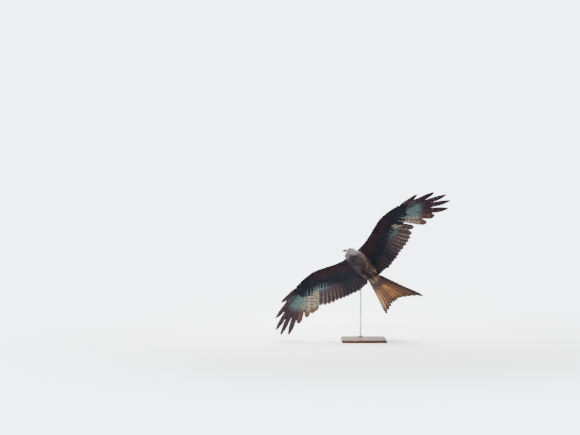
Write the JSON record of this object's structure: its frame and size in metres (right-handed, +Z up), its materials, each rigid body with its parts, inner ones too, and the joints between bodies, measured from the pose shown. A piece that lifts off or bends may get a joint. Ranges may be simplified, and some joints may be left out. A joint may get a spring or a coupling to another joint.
{
  "type": "red kite display model",
  "caption": "Life-size red kite banking on spread wings, seen from below with its forked tail fanned, held by a wooden base and a steel rod.",
  "frame": {"origin": "centre of the underside of the stand's base, on the floor", "axes": "+Z up, -Y towards the viewer, who sees the bird's underside, +X to the viewer's right, where the left wing rises"},
  "size_m": [1.3085, 0.3687, 1.1288],
  "materials": {
    "plumage_body": "matte, brown feathers streaked rufous",
    "plumage_head": "matte, pale grey feathers with fine dark streaks",
    "plumage_wing": "matte to silky, dark brown feathers with a pale window in the outer wing",
    "plumage_tail": "silky, rufous feathers",
    "horn": "satin, yellow at the base with a dark hooked tip",
    "eye": "glossy, pale amber with a dark pupil",
    "foot": "satin, yellow scales and dark claws",
    "base_wood": "satin lacquered dark walnut",
    "rod_steel": "satin"
  },
  "bodies": {
    "root": {"torso": "plumage_body", "thigh_left": "plumage_body", "thigh_right": "plumage_body", "neck": "plumage_head", "head": "plumage_head", "eye_left": "eye", "eye_right": "eye", "bill_upper": "horn", "bill_lower": "horn", "foot_left": "foot", "foot_right": "foot", "wing_left_arm": "plumage_wing", "wing_left_hand": "plumage_wing", "wing_right_arm": "plumage_wing", "wing_right_hand": "plumage_wing", "tail": "plumage_tail", "stand_base": "base_wood", "stand_collar": "rod_steel", "stand_post": "rod_steel", "stand_arm": "rod_steel"}
  },
  "joints": []
}
